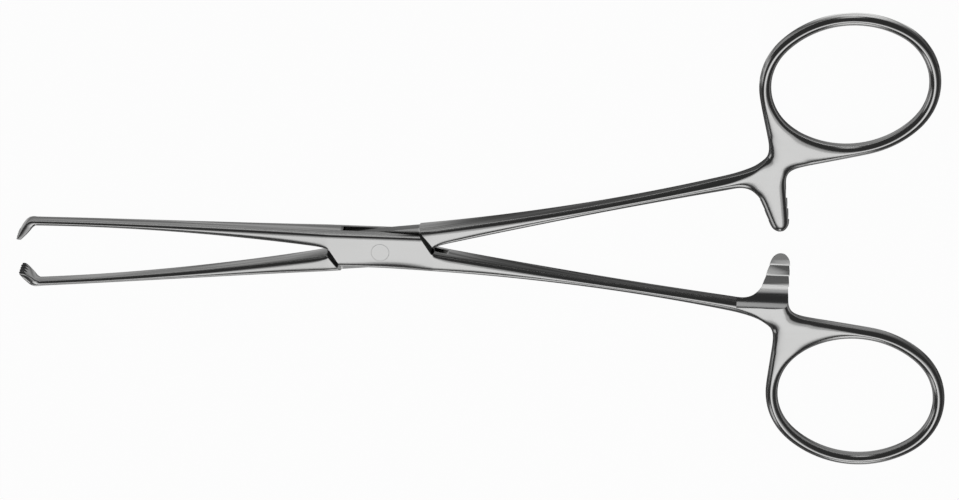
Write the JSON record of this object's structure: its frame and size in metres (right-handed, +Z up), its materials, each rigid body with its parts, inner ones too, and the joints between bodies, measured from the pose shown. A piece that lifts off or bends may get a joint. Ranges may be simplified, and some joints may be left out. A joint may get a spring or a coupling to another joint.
{
  "type": "tissue forceps",
  "caption": "Ratcheted tissue forceps of polished steel, with finger rings, a box lock and inturned toothed jaws.",
  "frame": {"origin": "on the pivot axis, in the plane of the underside of the box lock that the forceps lies on", "axes": "+X along the centre line from the pivot to the finger rings, with the jaws towards -X; +Y across the halves; +Z up, along the pivot, out of the front cheek"},
  "size_m": [0.1546, 0.0808, 0.005],
  "materials": {
    "female_half": "polished stainless steel",
    "male_half": "polished stainless steel",
    "pivot_pin": "polished stainless steel"
  },
  "bodies": {
    "female": {"female_half": "female_half", "pivot_pin": "pivot_pin"},
    "male": {"male_half": "male_half"}
  },
  "joints": [
    {"name": "lock_pivot", "type": "hinge", "parent": "female", "child": "male", "pos_m": [0, 0, 0], "axis": [0, 0, 1], "range_deg": [-6, 44]}
  ]
}
